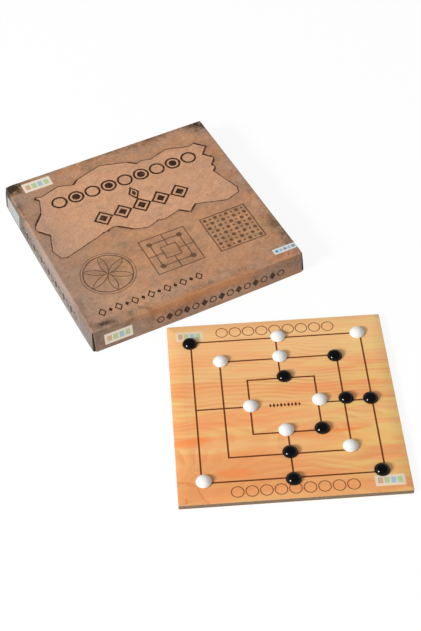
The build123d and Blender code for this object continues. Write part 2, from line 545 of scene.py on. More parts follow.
def make_pine_print(tints: PineTints = PineTints()) -> Tree:
    """A group for a printed picture of a flat-sawn pine plank, with its grain along x.

    The plank cuts a trunk whose rings have their middle line along x, below the plank and tilted to it. So
    the ring number is the distance from that line over the ring's width: fine lines far from it, and long
    flames where it is near. Each ring darkens slowly and ends sharply. Flow moves the pattern along x.
    """
    group = Group("pine_print", {"Place": "vector", "Flow": "number"}, {"Colour": "colour"})
    canvas = group.canvas
    x, y, _ = canvas.split(group.inputs["Place"])
    x = x + Field(canvas, group.inputs["Flow"])
    flat = canvas.join(x, y)
    ring_width, trunk_y, trunk_depth, trunk_tilt = 4.3, -58.0, 64.0, 0.1
    level = y + canvas.sway(flat, (150.0, 80.0, 50.0), 8.0, 1.0)
    level = level + canvas.sway(flat, (80.0, 26.0, 20.0), 1.4, 2.0)
    below = x * trunk_tilt + trunk_depth + canvas.sway(flat, (140.0, 110.0, 50.0), 16.0, 3.0)
    beside = level - trunk_y
    rings = (beside * beside + below * below).math("SQRT") / ring_width
    part = rings - rings.math("FLOOR")
    late = part.rise(0.1, 0.8) * part.rise(1.0, 0.84)
    strength = canvas.noise(flat, (110.0, 14.0, 30.0), detail=2.0, seed=5.0).rise(0.3, 0.7)

    tone = canvas.noise(flat, (170.0, 22.0, 60.0), detail=2.0, seed=6.0)
    colour = canvas.mix(tone.rise(0.36, 0.62), tints.honey, tints.peach)
    blush = canvas.noise(flat, (80.0, 9.0, 30.0), detail=3.0, seed=7.0).rise(0.46, 0.7)
    colour = canvas.stain(colour, tints.blush, blush, most=0.6)
    gold = canvas.noise(flat, (90.0, 13.0, 30.0), detail=2.0, seed=10.0).rise(0.5, 0.68)
    colour = canvas.stain(colour, tints.gold, gold, most=0.6)
    colour = canvas.stain(colour, tints.late_wood, late * (strength * 0.42 + 0.06))
    fibre = canvas.noise(flat, (14.0, 0.5, 10.0), detail=3.0, seed=9.0)
    return group.give(Colour=canvas.shade(colour, fibre * 0.14 + 0.92))


# ------------------------------------------------------------------------------------- finishes


@dataclass(frozen=True)
class PaleLabel:
    """A small printed label: a pale ground with a row of plain swatches, all sizes in mm."""

    middle: Pair
    half: Pair
    swatches: int = 4
    cream: Colour = screen(226, 212, 194)
    tints: tuple[Colour, Colour, Colour] = (
        screen(196, 158, 124), screen(168, 194, 140), screen(146, 184, 204),
    )

    def lay(self, canvas: Canvas, place: Plane2, ground: object, show: Number = 1.0) -> Socket:
        """Lays the label over the ground.

        Args:
            canvas: where the nodes go.
            place: the two distances along the panel.
            ground: the colour under the label.
            show: 0 where the panel isn't the label's own.
        Returns:
            The colour with the label.
        """
        outline = box_at(place, self.middle, self.half)
        pitch = 2 * self.half[0] / (self.swatches + 0.6)
        side, number = in_row(place[0] - self.middle[0], self.swatches, pitch)
        swatch = box_at((side, place[1]), (0.0, self.middle[1]), (0.38 * pitch, 0.52 * self.half[1]))
        tint = canvas.mix(odd(number), self.tints[2], self.tints[1])
        tint = canvas.stain(tint, self.tints[0], number.rise(0.6, 0.4))
        label = canvas.stain(self.cream, tint, swatch.filled(), most=0.9)
        return canvas.stain(ground, label, outline.filled() * show)


@dataclass(frozen=True)
class LidPlace:
    """Where a point is on the lid. Distances are in mm.

    Attributes:
        vector: the place in the frame, whose parts are x, y and z.
        hand: x and y with the waver of lines drawn by hand.
        depth: how far the point is below the lid's top.
        beside, behind: how far it is inside the left or right wall, and inside the front or back wall.
        edge: the less of these two.
    """

    vector: Socket
    x: Field
    y: Field
    z: Field
    hand: Plane2
    depth: Field
    beside: Field
    behind: Field
    edge: Field

    @classmethod
    def on(cls, canvas: Canvas, half: Pair, top: float) -> LidPlace:
        """The place on a lid with these half sizes and this height of its top."""
        vector = canvas.place()
        x, y, z = canvas.split(vector)
        hand = (x + canvas.sway(vector, 9.0, 0.35, 21.0), y + canvas.sway(vector, 9.0, 0.35, 22.0))
        beside, behind = half[0] - abs(x), half[1] - abs(y)
        return cls(vector, x, y, z, hand, top - z, beside, behind, beside.under(behind))


@dataclass(frozen=True)
class LidPrint:
    """The print on the lid: an uneven framed field with ornament rows, and three figures below. Sizes in mm.

    Attributes:
        half: half the lid's length and width.
        top: the height of the lid's top above the table.
        soot: soft burnt spots, each with its middle, its half sizes and its strength. The ground adds painted
            shade along the rim to them.
        ink, frame_ink, figure_ink: the colours of the ornaments, the field's frame and the figures.
        sheen_grey, left_sheen_grey, glow, shadow, highlight, cloud: the tints laid over the ground, in this
        order. The first two are painted sheen.
        card: the colour of the bare card where the print is rubbed off.
    """

    half: Pair
    top: float
    field_middle: Pair = (0.0, 49.0)
    field_half: Pair = (116.0, 58.0)
    field_margin: float = 13.0
    bite_pitch: float = 52.0
    bite_depth: float = 24.0
    counters_middle: Pair = (2.0, 76.0)
    counters_pitch: float = 21.5
    lozenges_middle: Pair = (2.0, 27.0)
    lozenges_pitch: float = 25.0
    figures_y: float = -58.0
    figures_x: float = 80.0
    figure_half: float = 29.0
    marks_middle: Pair = (-50.0, -110.0)
    soot: Spots = (
        (-128.0, 125.0, 29.0, 21.0, 1.08), (130.0, 128.0, 28.0, 28.0, 0.9), (-112.0, -126.0, 20.0, 8.0, 0.8),
        (134.0, -92.0, 20.0, 52.0, 0.66), (40.0, 134.0, 120.0, 14.0, 0.6), (-134.0, 84.0, 12.0, 50.0, 0.6),
        (-134.0, -110.0, 10.0, 44.0, 0.6),
    )
    ink: Colour = screen(54, 29, 10)
    frame_ink: Colour = screen(76, 42, 22)
    figure_ink: Colour = screen(86, 58, 42)
    sheen_grey: Colour = screen(142, 122, 110)
    left_sheen_grey: Colour = screen(119, 111, 105)
    glow: Colour = screen(190, 126, 78)
    shadow: Colour = screen(84, 62, 46)
    highlight: Colour = screen(226, 184, 146)
    cloud: Colour = screen(122, 92, 72)
    card: Colour = screen(196, 170, 142)
    top_label: PaleLabel = PaleLabel((-96.0, 118.0), (18.0, 8.0))
    front_label: PaleLabel = PaleLabel((-102.6, 13.6), (17.0, 7.5))
    left_label: PaleLabel = PaleLabel(
        (-104.0, 12.0), (19.5, 9.5), cream=screen(152, 154, 150),
        tints=(screen(160, 140, 124), screen(142, 152, 138), screen(138, 152, 160)),
    )
    right_label: PaleLabel = PaleLabel(
        (117.5, -117.2), (14.8, 4.2), swatches=5, cream=screen(214, 220, 220),
        tints=(screen(96, 130, 170), screen(150, 172, 190), screen(120, 138, 150)),
    )

    def field_shape(self, canvas: Canvas, place: Plane2) -> Field:
        """The distance from the framed field's outline: a box with bites taken out round scattered points."""
        flat = canvas.join(place[0], place[1], 0.0)
        bites = canvas.lumps(flat, self.bite_pitch, 11.0) * self.bite_depth
        return box_at(place, self.field_middle, self.field_half) + bites - self.field_margin

    def ornaments(self, place: Plane2) -> Field:
        """The ink of the rows of ornaments: nine counters, a lozenge, five lozenges and a row of marks."""
        x, y = place
        along, number = in_row(x - self.counters_middle[0], 9, self.counters_pitch)
        row = (along, y - self.counters_middle[1])
        ring = ring_at(row, ORIGIN, 8.6)
        ink = ring.stroke(2.6).over((ring + 3.6).filled() * odd(number))
        middle = lozenge_at(place, (self.counters_middle[0], 50.0), (6.0, 10.0))
        ink = ink.over(middle.stroke(2.2)).over((middle + 2.6).filled())
        along, number = in_row(x - self.lozenges_middle[0], 5, self.lozenges_pitch)
        row = (along, y - self.lozenges_middle[1])
        lozenge = lozenge_at(row, ORIGIN, (11.0, 11.5))
        ink = ink.over(lozenge.stroke(2.4)).over((lozenge + 3.7).filled())
        along, number = in_row(x - self.marks_middle[0], 13, 10.0)
        row = (along, y - self.marks_middle[1])
        mark = lozenge_at(row, ORIGIN, (4.0, 5.2))
        return ink.over(mark.stroke(1.4) * (1.0 - odd(number))).over((mark + 1.2).filled() * odd(number))

    def figures(self, place: Plane2) -> tuple[Field, Field]:
        """The three figures below the framed field.

        Args:
            place: the two distances on the lid's top.
        Returns:
            The ink of their lines and counters, and the distance from the figures' outlines.
        """
        x, y = place
        size = self.figure_half
        rosette = (x + self.figures_x, y - self.figures_y)
        rim = ring_at(rosette, ORIGIN, size)
        petals = rim
        for step in range(6):
            angle = math.radians(60 * step + 30)
            arc = ring_at(rosette, (size * math.cos(angle), size * math.sin(angle)), size)
            petals = abs(arc) if step == 0 else petals.under(abs(arc))
        ink = (petals.stroke(1.1) * rim.filled()).over(rim.stroke(1.6)).over((rim - 3.2).stroke(0.9))
        mill = (x, y - self.figures_y)
        halves = (size, 0.66 * size, 0.33 * size)
        counters = ring_at((abs(mill[0]), abs(mill[1])), (0.66 * size, 0.66 * size), 3.6)
        ink = ink.over(mill_lines(mill, halves).stroke(1.4)).over(counters.filled(0.8))
        grid = (x - self.figures_x, y - self.figures_y)
        across, column = in_row(grid[0], 8, 7.0)
        upward, row = in_row(grid[1], 8, 7.0)
        frame_line = box_at(grid, ORIGIN, (size, size))
        dot = ring_at((across, upward), ORIGIN, 1.5) - odd(column + row) * 1.0
        ink = ink.over(dot.filled(0.6)).over(frame_line.stroke(1.6))
        outline = rim.under(box_at(mill, ORIGIN, (size, size))).under(frame_line)
        return ink, outline

    @staticmethod
    def side_row(along: Field, middle: float, height: Field) -> Field:
        """The ink of the row on a side panel: counters and lozenges by turns."""
        place, number = in_row(along - middle, 15, 11.0)
        row = (place, height - 12.5)
        ring = ring_at(row, ORIGIN, 3.9).stroke(1.5)
        lozenge = lozenge_at(row, ORIGIN, (4.4, 5.6)).filled()
        return ring * (1.0 - odd(number)) + lozenge * odd(number)

    def ground(self, canvas: Canvas, at: LidPlace, framed: Field, group: Tree) -> tuple[Socket, Field]:
        """The aged ground, as it changes over the lid.

        It is greyer towards the left, on the walls and low on the left wall, all painted sheen; warm low on the
        front wall, darker towards the walls' ends, and darker along the rim, which is painted shade.

        Args:
            canvas: where the nodes go.
            at: the place on the lid.
            framed: the distance from the framed field's outline.
            group: the aged ground's node group.
        Returns:
            The colour, and the height of the embossed grain in mm.
        """
        x, y, depth = at.x, at.y, at.depth
        on_side = at.beside.rise(2.4, 0.6) * depth.rise(0.4, 2.0)
        on_end = at.behind.rise(2.4, 0.6) * depth.rise(0.4, 2.0)
        grime = on_side * y.rise(-20.0, 90.0) * depth.rise(5.0, 20.0) * 0.3
        # painted shade: a dark band at the foot of the walls, along the rim, joins the burnt spots
        soot = ovals(at.hand, self.soot) + depth.rise(26.5, 29.2) * 0.3 + grime
        # painted sheen: greyer towards the front left, as a reflection of the lamp
        hide = canvas.use(
            group, Place=at.vector, Edge=at.edge + depth * 0.9, Soot=soot,
            Warmth=framed.rise(8.0, -8.0), Ash=(x * -0.6 - y).rise(60.0, 190.0) * 0.8,
        )
        # blotches that make the painted sheen below uneven
        film = canvas.noise(at.vector, (9.0, 14.0, 6.0), detail=4.0, roughness=0.6, seed=33.0).rise(0.36, 0.6)
        # painted sheen: greyer on the left of the top, along the side folds and on the side walls, as a
        # reflection of the white surroundings
        grey = x.rise(-64.0, -132.0) * 0.4 + at.beside.rise(9.0, 0.0) * 0.25 + on_side * 0.24
        grey = grey * (film * 0.5 + 0.7) * soot.rise(0.9, 0.1)
        colour = canvas.stain(hide["Colour"], self.sheen_grey, grey)
        # painted sheen: greyer low on the left wall, as a reflection of the white surroundings
        left_sheen = on_side * x.rise(-100.0, -130.0) * depth.rise(3.0, 12.0) * (film * 0.3 + 0.6)
        colour = canvas.stain(colour, self.left_sheen_grey, left_sheen)
        low_front = y.rise(9.0 - self.half[1], -self.half[1]) * depth.rise(13.0, 4.0)
        colour = canvas.stain(colour, self.glow, low_front * abs(x).rise(115.0, 20.0), most=0.6)
        faded = on_end * abs(x).rise(40.0, 120.0) * 0.3
        faded = faded + on_side * (y.rise(0.0, 95.0) * 0.42 + y.rise(-50.0, -120.0) * 0.2)
        return canvas.shade(colour, 1.0 - faded), Field(canvas, hide["Height"])

    def printed(self, canvas: Canvas, at: LidPlace, framed: Field, ground: Socket) -> Socket:
        """Prints the framed field, the figures, the ornaments and the walls' rows on the ground."""
        density = canvas.noise(at.vector, 3.0, detail=3.0, seed=31.0).rise(0.2, 0.5) * 0.35 + 0.6
        around = framed.rise(8.0, 0.0) * framed.rise(-0.6, 0.6) * at.edge.rise(0.0, 6.0)
        colour = canvas.stain(ground, self.shadow, around, most=0.25)
        colour = canvas.stain(colour, self.highlight, (framed + 1.6).stroke(1.2, 1.2), most=0.3)
        colour = canvas.stain(colour, self.frame_ink, framed.stroke(1.9, 0.7) * density, most=1.05)
        lines, outline = self.figures(at.hand)
        puffs = canvas.noise(at.vector, 13.0, detail=4.0, seed=32.0).rise(0.3, 0.66)
        colour = canvas.stain(colour, self.cloud, outline.rise(6.0, -9.0) * puffs, most=0.34)
        colour = canvas.stain(colour, self.figure_ink, lines * density, most=0.9)
        colour = canvas.stain(colour, self.ink, self.ornaments(at.hand) * density, most=1.1)
        below_fold = at.depth.rise(1.6, 2.2)
        front_row = self.side_row(at.x, 26.0, at.z) * at.behind.rise(1.2, 0.4) * below_fold
        left_row = self.side_row(at.y, -8.0, at.z) * at.beside.rise(1.2, 0.4) * below_fold
        return canvas.stain(colour, self.ink, front_row.over(left_row) * density)

    def labelled(self, canvas: Canvas, at: LidPlace, ground: Socket) -> Socket:
        """Lays the two labels on the top, and those on the front and left walls."""
        colour = self.top_label.lay(canvas, (at.x, at.y), ground)
        colour = self.right_label.lay(canvas, (at.x, at.y), colour)
        on_wall = at.z.rise(self.top - 2.0, self.top - 2.4)
        front = at.y.rise(0.4 - self.half[1], 0.1 - self.half[1]) * on_wall
        colour = self.front_label.lay(canvas, (at.x, at.z), colour, front)
        left = at.x.rise(0.4 - self.half[0], 0.1 - self.half[0]) * on_wall
        return self.left_label.lay(canvas, (at.y * -1.0, at.z), colour, left)

    def material(self, groups: Groups) -> Material:
        """The whole print as a material."""
        coat = Coat("lid_print", 0.5, specular=0.2)
        canvas = coat.canvas
        at = LidPlace.on(canvas, self.half, self.top)
        framed = self.field_shape(canvas, at.hand)
        colour, grain = self.ground(canvas, at, framed, groups["hide"])
        colour = self.labelled(canvas, at, self.printed(canvas, at, framed, colour))
        fold = (at.depth - 0.6).stroke(1.2, 1.6) * at.edge.rise(2.2, 0.8)
        wear = canvas.use(groups["wear"], Place=at.vector, Print=colour, Card=self.card, Wear=fold * 0.08)
        rough = canvas.noise(at.vector, 30.0, detail=4.0, seed=41.0) * 0.16 + 0.42
        height = grain + canvas.noise(at.vector, 0.5, detail=2.0, seed=42.0) * 0.012
        return coat.lay(wear["Colour"], rough + Field(canvas, wear["Mask"]) * 0.3, canvas.bump(height))


@dataclass(frozen=True)
class BareCard:
    """Unprinted card, as on the inside of the box."""

    name: str
    tint: Colour
    roughness: float = 0.85

    def material(self, groups: Groups) -> Material:
        """The card as a material."""
        coat = Coat(self.name, self.roughness, specular=0.25)
        vector = coat.canvas.place()
        card = coat.canvas.use(groups["card"], Place=vector, Tint=self.tint)
        return coat.lay(card["Colour"], None, coat.canvas.bump(Field(coat.canvas, card["Height"])))


class Plastic(Enum):
    """The two colours of the stones, with their gloss."""

    WHITE = (screen(225, 225, 220), screen(218, 220, 219), 0.2, 0.5)
    BLACK = (screen(2, 2, 4), screen(5, 4, 7), 0.12, 0.22)

    def material(self) -> Material:
        """Moulded plastic: a faint cloud from stone to stone, fine scuffs, and a softly uneven gloss."""
        base, other, roughness, specular = self.value
        coat = Coat(f"stone_{self.name.lower()}", roughness, specular=specular)
        canvas = coat.canvas
        vector = canvas.place()
        cloud = canvas.noise(vector, 26.0, detail=2.0, seed=2.0).rise(0.35, 0.65)
        scuffs = canvas.noise(vector, (0.25, 3.0, 1.0), detail=3.0, seed=5.0).rise(0.62, 0.8)
        rough = scuffs * 0.12 + canvas.noise(vector, 6.0, seed=3.0) * 0.08 + (roughness - 0.04)
        height = canvas.noise(vector, 1.6, detail=2.0, seed=4.0) * 0.008
        return coat.lay(canvas.mix(cloud, base, other), rough, canvas.bump(height))


# --------------------------------------------------------------------------------------- meshes


def spread(count: int, crowd: float) -> Points:
    """Numbers from -1 to 1, closer together near both ends: the hyperbolic tangent of even steps, scaled."""
    steps = np.linspace(-crowd, crowd, count)
    return np.tanh(steps) / np.tanh(crowd)


class Patchwork:
    """Grids of points gathered into one mesh, and welded where their edges meet."""

    def __init__(self) -> None:
        """Starts with no grid."""
        self.points: list[Points] = []
        self.quads: list[Points] = []
        self.slots: list[Points] = []
        self.count = 0

    def add(self, grid: Points, slot: int = 0) -> None:
        """Adds one grid.

        Args:
            grid: the points, as rows by columns by 3.
            slot: the material slot.
        """
        rows, columns = grid.shape[:2]
        first = np.arange(rows * columns).reshape(rows, columns) + self.count
        quads = np.stack([first[:-1, :-1], first[:-1, 1:], first[1:, 1:], first[1:, :-1]], axis=-1)
        quads = quads.reshape(-1, 4)
        self.points.append(grid.reshape(-1, 3))
        self.quads.append(quads)
        self.slots.append(np.full(len(quads), slot))
        self.count += rows * columns

    def add_strip(self, first: Points, second: Points, slot: int = 0) -> None:
        """Adds the faces between two lines of points."""
        self.add(np.stack([first, second]), slot)

    def build(
        self, name: str, materials: list[Material], sharp: float = 40.0, weld: float = 2e-6,
        move: Callable[[Points], Points] | None = None,
    ) -> bpy.types.Object:
        """Makes the object, a closed mesh whose faces all look outwards.

        Args:
            name: the object's name.
            materials: its materials, by slot.
            sharp: edges that bend more than this many degrees are drawn sharp.
            weld: points nearer than this become one, in metres.
            move: moves all the points, after the welding is settled.
        Returns:
            The object, at the origin.
        """
        mesh = bpy.data.meshes.new(name)
        points = np.concatenate(self.points)
        quads = np.concatenate(self.quads)
        mesh.from_pydata(points, [], quads.tolist())
        mesh.polygons.foreach_set("material_index", np.concatenate(self.slots).astype(np.int32))
        whole = bmesh.new()
        whole.from_mesh(mesh)
        bmesh.ops.remove_doubles(whole, verts=whole.verts, dist=weld)
        bmesh.ops.dissolve_degenerate(whole, edges=whole.edges, dist=weld / 4)
        bmesh.ops.recalc_face_normals(whole, faces=whole.faces)
        open_edges = sum(1 for edge in whole.edges if len(edge.link_faces) != 2)
        volume = whole.calc_volume(signed=True)
        whole.to_mesh(mesh)
        whole.free()
        if move is not None:
            placed = np.empty(3 * len(mesh.vertices))
            mesh.vertices.foreach_get("co", placed)
            mesh.vertices.foreach_set("co", move(placed.reshape(-1, 3)).ravel())
        mesh.shade_smooth()
        mesh.set_sharp_from_angle(angle=math.radians(sharp))
        for material in materials:
            mesh.materials.append(material)
        piece = bpy.data.objects.new(name, mesh)
        bpy.context.scene.collection.objects.link(piece)
        log.info("%s: %d faces, %d open edges, %.2f cm3", name, len(mesh.polygons), open_edges, volume * 1e6)
        return piece


class CardSide(IntEnum):
    """The material slots of a folded card sheet."""

    PRINT = 0
    INSIDE = 1
    CUT = 2
    TAB = 3


@dataclass
class FoldedBox:
    """A shallow box of folded card, open on one side: a lid when its panel is on top, a tray when it isn't.

    The left and right walls turn the upright corners and go on as tabs behind the front and back walls, which
    stop short of the turn. Where nothing holds it, a wall springs outwards towards its rim.

    Attributes:
        node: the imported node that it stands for.
        panel_up: whether the closed panel is on top.
        slit_fold, slit_rim: width of the corner slits below the fold and at the rim.
        spring: how far the right, back, left and front walls spring out at the rim, at the start, in the
            middle and at the end of each, going clockwise seen from above.
        crush: how far each corner is knocked in: right back, left back, left front and right front.
        crush_reach: how far from a corner its crush fades.
        crush_drop: how far a crushed corner goes down, as a share of how far it goes in.
        sag: how far the middle of the panel hangs.
        yielding: how evenly the walls bend from fold to rim: 1 is straight, and less bends at the fold.
        lip: the first short step of a wall below its fold.
        columns, fold_steps, wall_steps, turn_steps, tab_steps: how many points or steps a wall has along its
            length, round its fold, down to its rim, round its turned corner and along its tab.
        crowding, wall_crowding: how much closer the points are near the corners, and near the fold.
        turn_seam: the step of the turned corner where the print ends.
        half, middle, level, height: half the box's size, its middle, the level of its panel and its height.
        along: the places of the points along a wall, from -1 to 1.
    """

    node: str
    panel_up: bool
    card: float = 1.5 * MM
    fold_radius: float = 2.0 * MM
    turn_radius: float = 1.8 * MM
    clear: float = 0.5 * MM
    slit_fold: float = 1.2 * MM
    slit_rim: float = 0.9 * MM
    tab_length: float = 22.0 * MM
    tab_taper: float = 6.0 * MM
    spring: tuple[Triple, ...] = ((0.0, 0.0, 0.0),) * 4
    crush: tuple[float, float, float, float] = (0.0, 0.0, 0.0, 0.0)
    crush_reach: float = 4.5 * MM
    crush_drop: float = 0.5
    sag: float = 0.0
    yielding: float = 0.6
    lip: float = 0.3 * MM
    columns: int = 97
    fold_steps: int = 6
    wall_steps: int = 12
    turn_steps: int = 5
    tab_steps: int = 8
    crowding: float = 1.8
    wall_crowding: float = 1.15
    turn_seam: int = 2
    half: Vector = field(init=False)
    middle: Vector = field(init=False)
    level: float = field(init=False)
    height: float = field(init=False)
    along: Points = field(init=False)

    def __post_init__(self) -> None:
        """Takes the box's place and size from its node."""
        low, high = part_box(self.node)
        self.middle = (low + high) / 2
        self.half = (high - low) / 2
        self.level = high.z if self.panel_up else low.z
        self.height = high.z - low.z
        self.along = spread(self.columns, self.crowding)

    def profile(self, radius: float) -> tuple[Points, Points]:
        """The wall's section: a quarter of a circle round the fold's middle, and then straight to the rim.

        Args:
            radius: the fold's radius on this face of the card.
        Returns:
            How far each point is inside the wall's outer face, and its depth below the panel.
        """
        angle = np.linspace(0, math.pi / 2, self.fold_steps + 1)
        deep = np.linspace(0, 1, self.wall_steps + 1)[1:] ** self.wall_crowding
        first = self.fold_radius + self.lip
        wall = np.concatenate([[first], first + (self.height - first) * deep])
        inset = np.concatenate([self.fold_radius - radius * np.sin(angle),
                                np.full(len(wall), self.fold_radius - radius)])
        depth = np.concatenate([self.fold_radius - radius * np.cos(angle), wall])
        return inset, depth

    def opened(self, depth: Points) -> Points:
        """How far a wall has sprung at a depth: 0 where the fold ends, 1 at the rim, fastest at the fold."""
        below = np.clip((depth - self.fold_radius) / (self.height - self.fold_radius), 0, None)
        return below**self.yielding

    def wall_grid(self, side: int, radius: float, with_tabs: bool) -> Points:
        """One wall with its fold, in its own axes: along, outward and depth.

        On the fold, both ends run along the mitre, as far from the corner as the face is inside the outer
        one. Below it, a wall with tabs ends where its turn begins, and a wall without ends at its slit.
        """
        out, length = self.reach(side)
        inset, depth = self.profile(radius)
        share = self.opened(depth)
        if with_tabs:
            end = np.full(len(depth), length - self.card - self.turn_radius)
        else:
            end = length - self.clear - self.slit_fold - (self.slit_rim - self.slit_fold) * share
        mitre = length - inset
        end = np.where(np.arange(len(depth)) <= self.fold_steps, mitre, end)
        along = end[:, None] * self.along[None, :]
        if with_tabs:
            late, early = (1 + self.along) / 2, (1 - self.along) / 2
            pulled = late * self.pulled(side, 1) - early * self.pulled(side, -1)
            along = along + share[:, None] * pulled[None, :]
        outward = (out - inset)[:, None] + share[:, None] * self.sprung(side, self.along)[None, :]
        return np.stack([along, outward, np.broadcast_to(depth[:, None], along.shape)], axis=-1)

    def sprung(self, side: int, along: Points) -> Points:
        """How far a wall's rim stands out: the parabola through its start, at -1, middle and end, at 1."""
        start, middle, end = self.spring[side]
        return middle + (end - start) / 2 * along + ((start + end) / 2 - middle) * along**2

    def pulled(self, side: int, end: int) -> float:
        """How far an end of a wall with tabs is drawn along, as its tab is glued to the next wall."""
        return float(self.sprung((side - end) % 4, np.array(-float(end))))

    def tab_grid(self, side: int, radius: float, end: int) -> Points:
        """The turned corner and the tab at one end of a wall, in the wall's axes.

        A quarter of a circle of the given radius round the turn's middle, and then straight inwards.
        """
        out, length = self.reach(side)
        _, depth = self.profile(self.fold_radius)
        depth = depth[self.fold_steps + 1:]
        share = self.opened(depth)
        angle = np.linspace(0, math.pi / 2, self.turn_steps + 1)
        turn_out = out - self.turn_radius
        turn_along = length - self.card - self.turn_radius
        run = np.linspace(0, 1, self.tab_steps + 1)[1:]
        reach = self.tab_length - self.tab_taper * share - self.turn_radius
        outward = np.concatenate([
            np.broadcast_to(turn_out + radius * np.cos(angle), (len(depth), len(angle))),
            turn_out - reach[:, None] * run[None, :],
        ], axis=1)
        along = np.concatenate([turn_along + radius * np.sin(angle), np.full(len(run), turn_along + radius)])
        outward = outward + share[:, None] * self.sprung(side, np.array([float(end)]))
        along = end * (along[None, :] + share[:, None] * self.pulled(side, end))
        grid = np.stack([along, outward, np.broadcast_to(depth[:, None], outward.shape)], axis=-1)
        return grid if end > 0 else grid[:, ::-1]

    def reach(self, side: int) -> Pair:
        """Half the box across a wall, and half the wall's length. Sides: 0 right, 1 back, 2 left, 3 front."""
        return (self.half.x, self.half.y) if side % 2 == 0 else (self.half.y, self.half.x)

    def placed(self, grid: Points, side: int) -> Points:
        """Turns a wall's grid to its side of the box, and gives it its place in the frame."""
        along, outward, depth = grid[..., 0], grid[..., 1], grid[..., 2]
        turn = math.radians(90 * side)
        x = outward * math.cos(turn) + along * math.sin(turn)
        y = outward * math.sin(turn) - along * math.cos(turn)
        return self.lifted(x, y, depth)

    def lifted(self, x: Points, y: Points, depth: Points) -> Points:
        """Points in the frame, from the distances from the box's middle and the depth below the panel."""
        z = self.level - depth if self.panel_up else self.level + depth
        return np.stack([self.middle.x + x, self.middle.y + y, np.broadcast_to(z, x.shape)], axis=-1)

    def panel_grid(self, depth: float) -> Points:
        """The flat panel at a depth, up to where its folds begin."""
        xs, ys = np.meshgrid(*(self.along * (half - self.fold_radius) for half in (self.half.x, self.half.y)))
        return self.lifted(xs, ys, np.full(xs.shape, depth))

    def worn(self, points: Points) -> Points:
        """Hangs the panel's middle and knocks in the corners.

        The sag is the product of two parabolas over the length and the width. A corner moves inwards by its
        crush, times a bell curve of the distance from it.
        """
        moved = points.copy()
        x = (points[:, 0] - self.middle.x) / self.half.x
        y = (points[:, 1] - self.middle.y) / self.half.y
        hang = self.sag * np.clip(1 - x**2, 0, None) * np.clip(1 - y**2, 0, None)
        moved[:, 2] -= hang if self.panel_up else 0
        for amount, (sx, sy) in zip(self.crush, CORNER_SIGNS):
            corner = (self.middle.x + sx * self.half.x, self.middle.y + sy * self.half.y, self.level)
            away = points - np.array(corner)
            bell = amount * np.exp(-(away**2).sum(axis=1) / self.crush_reach**2)
            drop = self.crush_drop if self.panel_up else -self.crush_drop
            moved -= bell[:, None] * np.array([sx, sy, drop])
        return moved

    def build(self, name: str, materials: list[Material]) -> bpy.types.Object:
        """Makes the whole box as one closed piece.

        Args:
            name: the piece's name.
            materials: the print, the inside, the cut edge and the tabs' outer face.
        Returns:
            The piece.
        """
        work = Patchwork()
        work.add(self.panel_grid(0.0), CardSide.PRINT)
        work.add(self.panel_grid(self.card), CardSide.INSIDE)
        for side in range(4):
            with_tabs = side % 2 == 0
            outer, inner = (
                self.placed(self.wall_grid(side, radius, with_tabs), side)
                for radius in (self.fold_radius, self.fold_radius - self.card)
            )
            work.add(outer, CardSide.PRINT)
            work.add(inner, CardSide.INSIDE)
            work.add_strip(outer[-1], inner[-1], CardSide.CUT)
            cut_ends = slice(self.fold_steps, self.fold_steps + 2 if with_tabs else len(outer))
            for column in (0, -1):
                work.add_strip(outer[cut_ends, column], inner[cut_ends, column], CardSide.CUT)
            if with_tabs:
                self.add_tab(work, side, -1)
                self.add_tab(work, side, 1)
        return work.build(name, materials, move=self.worn)

    def add_tab(self, work: Patchwork, side: int, end: int) -> None:
        """Adds the turned corner and the tab at one end of a wall, closed on its three free edges."""
        outer, inner = (
            self.placed(self.tab_grid(side, radius, end), side)
            for radius in (self.turn_radius, self.turn_radius - self.card)
        )
        seam = self.turn_seam if end > 0 else outer.shape[1] - 1 - self.turn_seam
        slots = (CardSide.PRINT, CardSide.TAB) if end > 0 else (CardSide.TAB, CardSide.PRINT)
        free = -1 if end > 0 else 0
        work.add(outer[:, :seam + 1], slots[0])
        work.add(outer[:, seam:], slots[1])
        work.add(inner, CardSide.INSIDE)
        for first, second in ((outer[-1], inner[-1]), (outer[0], inner[0]), (outer[:, free], inner[:, free])):
            work.add_strip(first, second, CardSide.CUT)


@dataclass
class BoardPlace:
    """Where the board lies: its middle, its turn and its side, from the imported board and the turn."""

    turn: float = math.radians(-22.8)
    corner: float = 1.0 * MM
    middle: Vector = field(init=False)
    side: float = field(init=False)

    def __post_init__(self) -> None:
        """Works out the side from the upright box round the turned square with rounded corners."""
        low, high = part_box("board_core")
        self.middle = Vector(((low.x + high.x) / 2, (low.y + high.y) / 2, 0.0))
        wide = abs(math.cos(self.turn)) + abs(math.sin(self.turn))
        self.side = 2 * (((high.x - low.x) / 2 - self.corner) / wide + self.corner)

    def placed(self, points: Points) -> Points:
        """Turns points in the board's own axes and moves them to where the board lies."""
        cos, sin = math.cos(self.turn), math.sin(self.turn)
        x = self.middle.x + cos * points[..., 0] - sin * points[..., 1]
        y = self.middle.y + sin * points[..., 0] + cos * points[..., 1]
        return np.stack([x, y, points[..., 2]], axis=-1)


def rounded_square(half: float, radius: float, side_steps: int = 16, corner_steps: int = 5) -> Points:
    """The outline of a square with rounded corners, anticlockwise, its last point the same as its first.

    Each quarter is one rounded corner and half of the two sides next to it.
    """
    angle = np.linspace(0, math.pi / 2, corner_steps + 1)
    straight = half - radius
    rise = np.linspace(0, straight, side_steps, endpoint=False)
    quarter = np.concatenate([
        np.stack([np.full(side_steps, half), rise], axis=-1),
        np.stack([straight + radius * np.cos(angle), straight + radius * np.sin(angle)], axis=-1),
        np.stack([rise[::-1], np.full(side_steps, half)], axis=-1)[:-1],
    ])
    turned = [quarter @ np.array([[math.cos(t), math.sin(t)], [-math.sin(t), math.cos(t)]])
              for t in np.arange(4) * math.pi / 2]
    outline = np.concatenate(turned)
    return np.concatenate([outline, outline[:1]])


